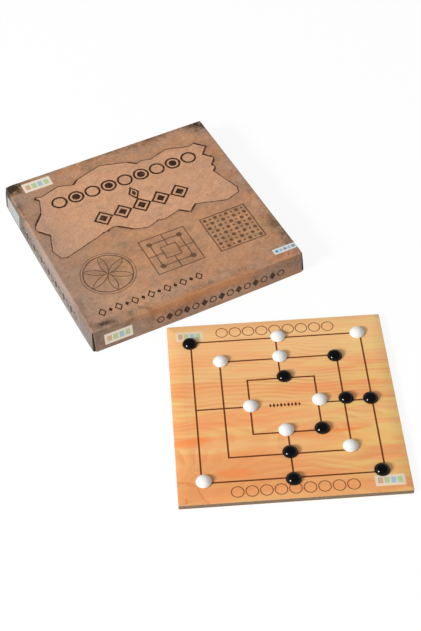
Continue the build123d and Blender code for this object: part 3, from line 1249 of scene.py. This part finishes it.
@dataclass
class BoardLayer:
    """One layer of the board: a rounded square plate with softened edges.

    Attributes:
        node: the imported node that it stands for.
        place: where the board lies.
        soften: how far the edges are softened, or a third of the layer's thickness if that is less.
        bevel: how far the middle of a softened edge is from its faces, as a share of the softening.
        shrink_steps: how many steps each face's outline takes to its middle.
    """

    node: str
    place: BoardPlace
    soften: float = 0.12 * MM
    bevel: float = 0.3
    shrink_steps: int = 8

    def build(self, name: str, materials: list[Material]) -> bpy.types.Object:
        """Makes the plate: its outline is carried up a section, and shrunk to a point on both faces."""
        low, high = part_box(self.node)
        soft = min(self.soften, (high.z - low.z) / 3)
        half = self.place.side / 2
        bevel = self.bevel * soft
        section = [(soft, low.z), (bevel, low.z + bevel), (0.0, low.z + soft), (0.0, high.z - soft),
                   (bevel, high.z - bevel), (soft, high.z)]
        rings = []
        for inset, level in section:
            ring = rounded_square(half - inset, self.place.corner - inset)
            rings.append(np.column_stack([ring, np.full(len(ring), level)]))
        shrink = np.linspace(1, 0, self.shrink_steps + 1)[1:, None, None] * np.array([1.0, 1.0, 0.0])
        bottom = rings[0] * shrink[::-1] + np.array([0.0, 0.0, low.z])
        top = rings[-1] * shrink + np.array([0.0, 0.0, high.z])
        grid = self.place.placed(np.concatenate([bottom, np.stack(rings), top]))
        work = Patchwork()
        work.add(grid)
        return work.build(name, materials, sharp=50.0)


def laminate_gloss(canvas: Canvas, vector: Socket) -> Field:
    """The roughness of the board's two prints, in large soft clouds."""
    return canvas.noise(vector, 40.0, detail=3.0, seed=13.0) * 0.12 + 0.46


@dataclass(frozen=True)
class BoardPrint:
    """The print on the board's face: the pine, the mill diagram, counter rows and labels. Sizes in mm.

    Attributes:
        place: where the board lies.
        halves: half the sides of the diagram's squares.
        ring_pitch, far_row, near_row: the step of the counter rows, and the rows' middles.
        mark_count, mark_pitch, mark_start: the small marks in the middle.
        knot, eye: the swirl in the near left corner, as its middle and radius, and the small arc in it.
        flares, warm, bruise: soft spots on the pine, each with its middle, half sizes and strength.
        warm_tint to eye_tint: the colours of the plank's own marks.
        worn: the colour of the print's rubbed edge.
    """

    place: BoardPlace
    halves: Triple = (94.5, 64.5, 36.5)
    line_width: float = 1.9
    ring_radius: float = 6.4
    ring_pitch: float = 14.85
    ring_line: float = 1.1
    ring_count: int = 9
    mark_count: int = 9
    mark_pitch: float = 3.9
    mark_start: float = 0.7
    small_mark: Pair = (1.5, 2.6)
    large_mark: Pair = (1.7, 3.1)
    far_row: Pair = (0.5, 106.9)
    near_row: Pair = (0.5, -107.6)
    line: Colour = screen(100, 42, 0)
    ring: Colour = screen(98, 48, 10)
    far_label: PaleLabel = PaleLabel((-95.5, 104.5), (15.0, 6.8), cream=screen(226, 202, 172))
    near_label: PaleLabel = PaleLabel((97.5, -105.5), (15.5, 6.8), cream=screen(222, 204, 180))
    flares: Spots = (
        (-58.0, -83.0, 24.0, 7.0, 1.0), (-104.0, -42.0, 26.0, 6.0, 1.0), (66.0, 106.0, 30.0, 5.0, 1.0),
        (60.0, -36.0, 34.0, 3.5, 1.0),
    )
    warm: Spots = ((-66.0, -84.0, 80.0, 34.0, 1.0),)
    bruise: Spots = ((120.0, 120.0, 9.0, 8.0, 1.0),)
    knot: Triple = (-130.0, -134.0, 42.0)
    eye: Pair = (-113.4, -115.4)
    warm_tint: Colour = screen(226, 142, 82)
    flare_tint: Colour = screen(238, 132, 66)
    gold_tint: Colour = screen(228, 198, 118)
    far_tint: Colour = screen(240, 196, 140)
    near_tint: Colour = screen(214, 142, 88)
    knot_tint: Colour = screen(206, 140, 84)
    knot_line: Colour = screen(206, 122, 66)
    eye_tint: Colour = screen(168, 96, 30)
    bruise_tint: Colour = screen(186, 176, 136)
    worn: Colour = screen(205, 184, 158)

    def figured(self, canvas: Canvas, place: Plane2, vector: Socket, ground: object) -> Socket:
        """Adds the plank's own marks to the pine: warm and yellow sides, resin flares and a knot's swirl."""
        x = place[0] + canvas.sway(vector, 26.0, 7.0, 15.0)
        y = place[1] + canvas.sway(vector, (60.0, 22.0, 20.0), 4.0, 16.0)
        colour = canvas.stain(ground, self.warm_tint, ovals((x, y), self.warm).rise(-0.2, 0.9), most=0.55)
        colour = canvas.stain(colour, self.flare_tint, ovals((x, y), self.flares).rise(0.0, 0.9), most=0.7)
        gold = canvas.noise(vector, (80.0, 12.0, 20.0), detail=2.0, seed=17.0).rise(0.42, 0.62)
        colour = canvas.stain(colour, self.gold_tint, gold * x.rise(10.0, 95.0), most=0.6)
        colour = canvas.stain(colour, self.far_tint, y.rise(20.0, 112.0), most=0.55)
        colour = canvas.stain(colour, self.near_tint, y.rise(-40.0, -124.0), most=0.45)
        swirl = ring_at((x, y), self.knot[:2], self.knot[2])
        colour = canvas.stain(colour, self.knot_tint, swirl.filled(2.0), most=0.3)
        colour = canvas.stain(colour, self.knot_line, swirl.stroke(2.6, 2.0), most=0.6)
        right_half = place[0].rise(self.eye[0] - 0.6, self.eye[0] + 1.0)
        eye = ring_at(place, self.eye, 2.6).stroke(1.3, 0.8) * right_half
        colour = canvas.stain(colour, self.eye_tint, eye, most=0.6)
        return canvas.stain(colour, self.bruise_tint, ovals(place, self.bruise).rise(0.1, 0.8), most=0.5)

    def material(self, groups: Groups) -> Material:
        """The face's print as a material."""
        coat = Coat("board_face_print", 0.5, specular=0.25)
        canvas = coat.canvas
        vector = canvas.place(self.place.middle, self.place.turn)
        x, y, _ = canvas.split(vector)
        pine = canvas.use(groups["pine"], Place=vector, Flow=0.0)
        colour = self.figured(canvas, (x, y), vector, pine["Colour"])
        for middle in (self.far_row, self.near_row):
            along, _ = in_row(x - middle[0], self.ring_count, self.ring_pitch)
            ring = ring_at((along, y - middle[1]), ORIGIN, self.ring_radius)
            colour = canvas.stain(colour, self.ring, ring.stroke(self.ring_line, 0.3), most=0.85)
        lines = mill_lines((x, y), self.halves).stroke(self.line_width, 0.3)
        colour = canvas.stain(colour, self.line, lines, most=0.98)
        along, number = in_row(x - self.mark_start, self.mark_count, self.mark_pitch)
        small, large = (
            lozenge_at((along, y), ORIGIN, size).filled(0.3) for size in (self.small_mark, self.large_mark)
        )
        colour = canvas.stain(colour, self.line, small * (1.0 - odd(number)) + large * odd(number))
        colour = self.far_label.lay(canvas, (x, y), colour)
        colour = self.near_label.lay(canvas, (x, y), colour)
        edge = self.place.side / (2 * MM) - abs(x).over(abs(y))
        grit = canvas.noise(vector, 1.7, detail=3.0, seed=12.0).rise(0.42, 0.6)
        colour = canvas.stain(colour, self.worn, edge.rise(0.5, 0.05) * grit, most=0.7)
        height = canvas.noise(vector, 0.8, detail=2.0, seed=14.0) * 0.012
        return coat.lay(colour, laminate_gloss(canvas, vector), canvas.bump(height))


@dataclass(frozen=True)
class BackPrint:
    """The print on the board's underside: a chequered grid on another part of the pine. Sizes in mm."""

    place: BoardPlace
    count: int = 10
    pitch: float = 20.5
    dot_radius: float = 2.2
    line_width: float = 0.9
    flow: float = 420.0
    line: Colour = screen(74, 38, 16)
    dark: Colour = screen(150, 92, 50)
    dot: Colour = screen(236, 206, 160)

    def material(self, groups: Groups) -> Material:
        """The underside's print as a material."""
        coat = Coat("board_back_print", 0.5, specular=0.25)
        canvas = coat.canvas
        vector = canvas.place(self.place.middle, self.place.turn)
        x, y, _ = canvas.split(vector)
        pine = canvas.use(groups["pine"], Place=vector, Flow=self.flow)
        across, column = in_row(x, self.count, self.pitch)
        upward, row = in_row(y, self.count, self.pitch)
        half = self.pitch / 2
        reach = half * self.count
        chequer = odd(column + row) * box_at((x, y), ORIGIN, (reach, reach)).filled()
        dots = ring_at((across, upward), ORIGIN, self.dot_radius).filled()
        lines = box_at((across, upward), ORIGIN, (half, half)).stroke(self.line_width)
        colour = canvas.stain(pine["Colour"], self.dark, chequer, most=0.35)
        colour = canvas.stain(colour, self.dot, dots * chequer, most=0.8)
        colour = canvas.stain(colour, self.line, lines)
        return coat.lay(colour, laminate_gloss(canvas, vector))


@dataclass(frozen=True)
class Fibreboard:
    """The board's core as its edge shows it: pressed brown fibres, darker near both faces. Sizes in mm."""

    place: BoardPlace
    low: float
    high: float
    dark: Colour = screen(92, 76, 60)
    light: Colour = screen(150, 128, 102)
    blot: Colour = screen(118, 102, 84)
    pressed: Colour = screen(80, 66, 50)

    def material(self, groups: Groups) -> Material:
        """The core as a material."""
        coat = Coat("board_fibre", 0.8, specular=0.25)
        canvas = coat.canvas
        vector = canvas.place(self.place.middle, self.place.turn)
        _, _, z = canvas.split(vector)
        fibres = canvas.noise(vector, (2.6, 2.6, 0.3), detail=4.0, roughness=0.65, seed=1.0)
        blots = canvas.noise(vector, (9.0, 9.0, 2.0), detail=3.0, seed=2.0)
        colour = canvas.mix(fibres.rise(0.3, 0.7), self.dark, self.light)
        colour = canvas.stain(colour, self.blot, blots.rise(0.5, 0.75), most=0.5)
        near_faces = (z - self.low).under(self.high - z).rise(1.3, 0.0)
        colour = canvas.stain(colour, self.pressed, near_faces, most=0.5)
        return coat.lay(colour, None, canvas.bump(fibres * 0.12))


@dataclass
class Stone:
    """One moulded stone: a flat-bottomed dome on a short rim, turned round its own axis."""

    node: str
    rim: float = 1.0 * MM
    foot: float = 0.8 * MM
    steps: int = 64
    base_steps: int = 4
    foot_steps: int = 5
    dome_steps: int = 19

    def section(self, radius: float, height: float) -> Points:
        """Half of the section, from the middle of the base to the top, as radius and height.

        The base is flat, the foot is a quarter of a circle, and the dome is an arc of the one circle that
        passes through the rim and the top.
        """
        quarter = np.linspace(-math.pi / 2, 0, self.foot_steps + 1)
        foot = np.column_stack([
            radius - self.foot + self.foot * np.cos(quarter), self.foot + self.foot * np.sin(quarter),
        ])
        rise = height - self.rim
        curve = (radius**2 + rise**2) / (2 * rise)
        widest = math.asin(radius / curve)
        angle = np.linspace(widest, 0, self.dome_steps + 1)
        dome = np.column_stack([curve * np.sin(angle), height - curve + curve * np.cos(angle)])
        reach = np.linspace(0, radius - self.foot, self.base_steps + 1)[:-1]
        base = np.column_stack([reach, np.zeros(self.base_steps)])
        return np.concatenate([base, foot, dome])

    def build(self, material: Material) -> bpy.types.Object:
        """Turns the section round the stone's axis, and sets the stone in its place."""
        low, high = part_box(self.node)
        radius = (high.x - low.x) / 2
        section = self.section(radius, high.z - low.z)
        angle = np.linspace(0, 2 * math.pi, self.steps + 1)
        x = (low.x + high.x) / 2 + section[:, :1] * np.cos(angle)[None, :]
        y = (low.y + high.y) / 2 + section[:, :1] * np.sin(angle)[None, :]
        z = low.z + np.broadcast_to(section[:, 1:], x.shape)
        work = Patchwork()
        work.add(np.stack([x, y, z], axis=-1))
        return work.build(f"{self.node}_dome", [material], sharp=50.0)


@dataclass
class Leaflet:
    """The folded rules sheet, whose upper leaf stands a little open."""

    node: str = "rules_leaflet"
    sheet: float = 0.3 * MM
    spring: float = 2.4 * MM
    fold: float = 0.35 * MM
    leaf_points: int = 24
    fold_steps: int = 8
    rows: int = 25

    def middle_line(self, width: float) -> Points:
        """The sheet's section at the middle of its thickness: the lower leaf, the fold and the upper leaf."""
        run = np.linspace(1, 0, self.leaf_points)[:, None]
        edge, turn = width / 2, -width / 2 + self.fold
        lower = np.hstack([turn + (edge - turn) * run, np.zeros_like(run)])
        angle = np.linspace(-math.pi / 2, -1.5 * math.pi, self.fold_steps + 1)[1:-1, None]
        bend = np.hstack([turn + self.fold * np.cos(angle), self.fold + self.fold * np.sin(angle)])
        back = run[::-1]
        upper = np.hstack([turn + (edge - turn) * back, 2 * self.fold + self.spring * back**2])
        return np.concatenate([lower, bend, upper])

    def build(self, materials: list[Material]) -> bpy.types.Object:
        """Carries the section along the leaflet, thickened to both sides of its middle line."""
        low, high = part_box(self.node)
        line = self.middle_line(high.x - low.x)
        slope = np.gradient(line, axis=0)
        slope /= np.linalg.norm(slope, axis=1, keepdims=True)
        normal = np.column_stack([-slope[:, 1], slope[:, 0]]) * self.sheet / 2
        along = np.linspace(low.y, high.y, self.rows)
        base = np.array([(low.x + high.x) / 2, low.z + self.sheet / 2])
        grids = []
        for half in (-1, 1):
            face = line + half * normal + base
            x = np.broadcast_to(face[None, :, 0], (len(along), len(face)))
            z = np.broadcast_to(face[None, :, 1], x.shape)
            grids.append(np.stack([x, np.broadcast_to(along[:, None], x.shape), z], axis=-1))
        inner, outer = grids
        work = Patchwork()
        work.add(outer)
        work.add(inner)
        for end in (0, -1):
            work.add_strip(inner[end], outer[end])
            work.add_strip(inner[:, end], outer[:, end])
        return work.build("leaflet_sheet", materials, sharp=60.0)


# --------------------------------------------------------------------------------------- studio


@dataclass
class Studio:
    """The camera at the photograph's viewing angle, one large soft lamp from the left, and a white floor.

    Attributes:
        azimuth, elevation, roll: where the camera stands and how it is turned, in degrees.
        focal_pixels: the camera's focal length in pixels of the photograph, whose longer side is tall.
        lamp_from: the direction that the lamp's light comes from.
        lamp_level, sky_level: how light a white surface that faces the lamp, or the open sky, becomes.
        ceiling: how light the sky overhead is in reflections, where white is 1.
        ceiling_starts, ceiling_full: how high a reflected ray looks where the sky begins to dim, and where it
            is as dim as the ceiling: 0 is level and 1 is straight up.
        floor_paint: how light the floor's own paint is.
        floor_white: the share of plain white in the floor as it is seen. The rest is its real shading.
    """

    azimuth: float = -25.81
    elevation: float = 48.325
    roll: float = 1.418
    distance: float = 1.5635
    look_at: Vector = field(default_factory=lambda: Vector((0.0059, -0.1459, 0.0)))
    focal_pixels: float = 1374.6
    tall: int = 631
    sensor: float = 36.0
    lamp_from: Vector = field(default_factory=lambda: Vector((-0.855, -0.121, 0.505)))
    lamp_distance: float = 4.0
    lamp_size: float = 0.85
    lamp_level: float = 1.1
    sky_level: float = 0.5
    ceiling: float = 0.25
    ceiling_starts: float = 0.05
    ceiling_full: float = 0.5
    floor_reach: float = 6.0
    floor_paint: float = 0.95
    floor_white: float = 0.9
    near_clip: float = 0.05
    far_clip: float = 50.0

    def camera(self) -> None:
        """Sets up the camera."""
        turn, lift, roll = (math.radians(v) for v in (self.azimuth, self.elevation, self.roll))
        back = Vector((math.sin(turn) * math.cos(lift), -math.cos(turn) * math.cos(lift), math.sin(lift)))
        right = Vector((math.cos(turn), math.sin(turn), 0.0))
        up = back.cross(right)
        rolled_right = right * math.cos(roll) - up * math.sin(roll)
        rolled_up = right * math.sin(roll) + up * math.cos(roll)
        data = bpy.data.cameras.new("camera")
        data.sensor_width = self.sensor
        data.lens = self.focal_pixels / self.tall * self.sensor
        data.clip_start = self.near_clip
        data.clip_end = self.far_clip
        camera = bpy.data.objects.new("camera", data)
        axes = Matrix((rolled_right, rolled_up, back)).transposed().to_4x4()
        camera.matrix_world = Matrix.Translation(self.look_at + back * self.distance) @ axes
        bpy.context.scene.collection.objects.link(camera)
        bpy.context.scene.camera = camera

    def lamp(self) -> None:
        """Hangs the soft lamp."""
        data = bpy.data.lights.new("soft_lamp", "AREA")
        data.shape = "SQUARE"
        data.size = self.lamp_size
        data.energy = self.lamp_level * math.pi**2 * self.lamp_distance**2
        lamp = bpy.data.objects.new("soft_lamp", data)
        toward = self.lamp_from.normalized()
        lamp.matrix_world = (
            Matrix.Translation(self.look_at + toward * self.lamp_distance)
            @ toward.to_track_quat("Z", "Y").to_matrix().to_4x4()
        )
        bpy.context.scene.collection.objects.link(lamp)

    @staticmethod
    def seen_directly(canvas: Canvas) -> tuple[Field, Field]:
        """Which rays see the white backdrop: 1 for camera and transmission rays, and 1 for glossy rays."""
        path = canvas.node("ShaderNodeLightPath")
        camera, through, glossy = (
            Field(canvas, path.outputs[f"Is {kind} Ray"]) for kind in ("Camera", "Transmission", "Glossy")
        )
        return camera.over(through), glossy

    def sky(self) -> None:
        """Makes the plain sky: white where seen, softer where it lights, and dim overhead in reflections."""
        world = bpy.data.worlds.new("sky")
        world.use_nodes = True
        world.node_tree.nodes.clear()
        canvas = Canvas(world.node_tree)
        background = canvas.node("ShaderNodeBackground")
        background.inputs["Color"].default_value = WHITE
        seen, glossy = self.seen_directly(canvas)
        _, _, height = canvas.split(canvas.node("ShaderNodeTexCoord").outputs["Generated"])
        mirrored = 1.0 - height.rise(self.ceiling_starts, self.ceiling_full) * (1.0 - self.ceiling)
        strength = seen + (1.0 - seen) * (glossy * mirrored + (1.0 - glossy) * self.sky_level)
        canvas.feed(background.inputs["Strength"], strength)
        output = canvas.node("ShaderNodeOutputWorld")
        canvas.feed(output.inputs["Surface"], background.outputs[0])
        bpy.context.scene.world = world

    def floor(self) -> None:
        """Lays the floor: white where it is seen, with a share of its real shading, so that shadows stay."""
        mesh = bpy.data.meshes.new("floor")
        corners = [(x * self.floor_reach, y * self.floor_reach, 0.0) for x, y in CORNER_SIGNS]
        mesh.from_pydata(corners, [], [(2, 3, 0, 1)])
        floor = bpy.data.objects.new("floor", mesh)
        bpy.context.scene.collection.objects.link(floor)
        material = bpy.data.materials.new("white_floor")
        material.use_nodes = True
        material.node_tree.nodes.clear()
        canvas = Canvas(material.node_tree)
        paint = canvas.node("ShaderNodeBsdfDiffuse")
        paint.inputs["Color"].default_value = (self.floor_paint,) * 3 + (1.0,)
        glow = canvas.node("ShaderNodeEmission")
        glow.inputs["Color"].default_value = WHITE
        glow.inputs["Strength"].default_value = 1.0
        blend = canvas.node("ShaderNodeMixShader")
        seen, glossy = self.seen_directly(canvas)
        output = canvas.node("ShaderNodeOutputMaterial")
        for socket, value in (
            (blend.inputs[0], seen.over(glossy) * self.floor_white),
            (blend.inputs[1], paint.outputs[0]),
            (blend.inputs[2], glow.outputs[0]),
            (output.inputs["Surface"], blend.outputs[0]),
        ):
            canvas.feed(socket, value)
        mesh.materials.append(material)

    def build(self) -> None:
        """Sets up everything that isn't the object."""
        self.camera()
        self.lamp()
        self.sky()
        self.floor()
        bpy.context.scene.view_settings.view_transform = "Standard"


# ------------------------------------------------------------------------------- the whole set


def settle(piece: bpy.types.Object, body: str, slot: str, *nodes: str) -> None:
    """Lets a piece ride on its body and stand for its nodes."""
    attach(piece, body)
    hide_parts(*nodes)
    log.info("%s rides on %s and stands for %s", piece.name, body, ", ".join(nodes))


def dress_node(node: str, material: Material) -> None:
    """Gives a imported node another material."""
    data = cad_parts[node].data
    data.materials.clear()
    data.materials.append(material)
    log.info("%s keeps its mesh and wears %s", node, material.name)


@dataclass
class CardBox:
    """The box: the printed lid, the tray, the insert and the leaflet."""

    groups: Groups
    inside: Colour = screen(190, 182, 170)
    cut_edge: Colour = screen(146, 130, 112)
    # painted shade: dark card on the lid's turned corners and tabs, standing in for the shade in the corner
    # slits
    tab: Colour = screen(42, 36, 32)
    insert: Colour = screen(206, 198, 184)
    paper: Colour = screen(234, 230, 220)
    paper_roughness: float = 0.7

    def build(self) -> None:
        """Makes and dresses every piece of the box."""
        inside = BareCard("box_inside", self.inside).material(self.groups)
        cut = BareCard("box_cut_edge", self.cut_edge).material(self.groups)
        # dark card as painted shade for the corner slits
        tab = BareCard("box_tab_painted_shade", self.tab).material(self.groups)
        lid = FoldedBox(
            "lid", True,
            spring=((1.8 * MM, 3.2 * MM, 2.4 * MM), (1.0 * MM, 2.6 * MM, 1.0 * MM),
                    (1.7 * MM, 3.2 * MM, 2.2 * MM), (2.4 * MM, 4.0 * MM, 3.5 * MM)),
            crush=(0.2 * MM, 0.8 * MM, 0.4 * MM, 0.2 * MM), sag=0.5 * MM,
        )
        print_ = LidPrint((lid.half.x / MM, lid.half.y / MM), lid.level / MM)
        lid_card = print_.material(self.groups)
        settle(lid.build("lid_shell", [lid_card, inside, cut, tab]), "lid", "lid_card", "lid")
        tray = FoldedBox("tray", False, slit_fold=0.3 * MM, slit_rim=0.3 * MM)
        settle(tray.build("tray_shell", [inside, inside, cut, inside]), "tray", "tray_card", "tray")
        dress_node("insert", BareCard("insert_card", self.insert).material(self.groups))
        paper = BareCard("leaflet_paper", self.paper, self.paper_roughness).material(self.groups)
        settle(Leaflet().build([paper]), "tray", "leaflet_paper", "rules_leaflet")


@dataclass
class GameBoard:
    """The board: its fibre core and the prints on its two faces."""

    groups: Groups
    place: BoardPlace = field(default_factory=BoardPlace)

    def build(self) -> None:
        """Makes and dresses the three layers."""
        low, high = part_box("board_core")
        core = Fibreboard(self.place, low.z / MM, high.z / MM).material(self.groups)
        face = BoardPrint(self.place).material(self.groups)
        back = BackPrint(self.place).material(self.groups)
        layers = (
            ("board_core", "board_panel", core, "board_fibre"),
            ("board_face_print", "board_face", face, "board_print"),
            ("board_back_print", "board_back", back, "board_print"),
        )
        for node, name, material, slot in layers:
            settle(BoardLayer(node, self.place).build(name, [material]), "board", slot, node)


@dataclass
class StoneSet:
    """The eighteen stones, nine of each colour."""

    count: int = 9

    def build(self) -> None:
        """Makes and dresses the stones."""
        for plastic in Plastic:
            colour = plastic.name.lower()
            material = plastic.material()
            for number in range(1, self.count + 1):
                node = f"stone_{colour}_{number}"
                settle(Stone(node).build(material), node, f"stone_{colour}", node)


def main() -> None:
    """Builds the set and the studio."""
    logging.basicConfig(level=logging.INFO, format="%(name)s: %(message)s")
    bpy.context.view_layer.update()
    groups = {
        "wear": make_print_wear(),
        "card": make_card_fibre(),
        "hide": make_aged_hide(),
        "pine": make_pine_print(),
    }
    CardBox(groups).build()
    GameBoard(groups).build()
    StoneSet().build()
    Studio().build()


if __name__ == "__main__":
    main()
